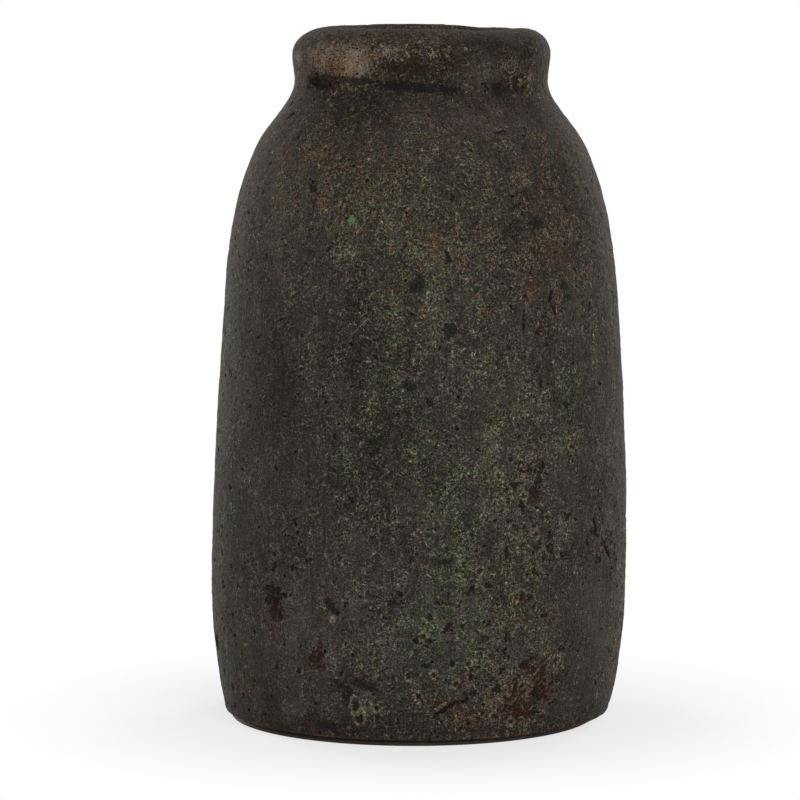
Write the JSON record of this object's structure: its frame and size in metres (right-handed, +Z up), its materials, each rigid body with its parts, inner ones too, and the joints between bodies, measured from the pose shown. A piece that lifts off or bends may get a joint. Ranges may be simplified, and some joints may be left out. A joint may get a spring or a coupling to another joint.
{
  "type": "clay jar",
  "caption": "Tall hand-built clay jar with a full belly, short neck and thick rolled rim, under a dark crust of slip.",
  "frame": {"origin": "centre of the underside of the base pad, on the surface that the jar rests on", "axes": "+Z up along the jar's axis through the mouth; -Y towards the side that the picture shows; +X to its right"},
  "size_m": [0.2749, 0.275, 0.457],
  "materials": {
    "pad": "matt, finely grained, dark grey",
    "clay": "low-fired red-brown clay, matt, wiped by hand",
    "crust": "dry dark slip, pitted and flaked, with green and rust patina"
  },
  "bodies": {
    "root": {"base_pad": "pad", "floor_slab": "clay", "corner_coil": "clay", "foot_course": "clay", "belly_course": "clay", "flank_course": "clay", "shoulder_course": "clay", "neck_collar": "clay", "rim_coil": "clay", "slip_crust": "crust"}
  },
  "joints": []
}
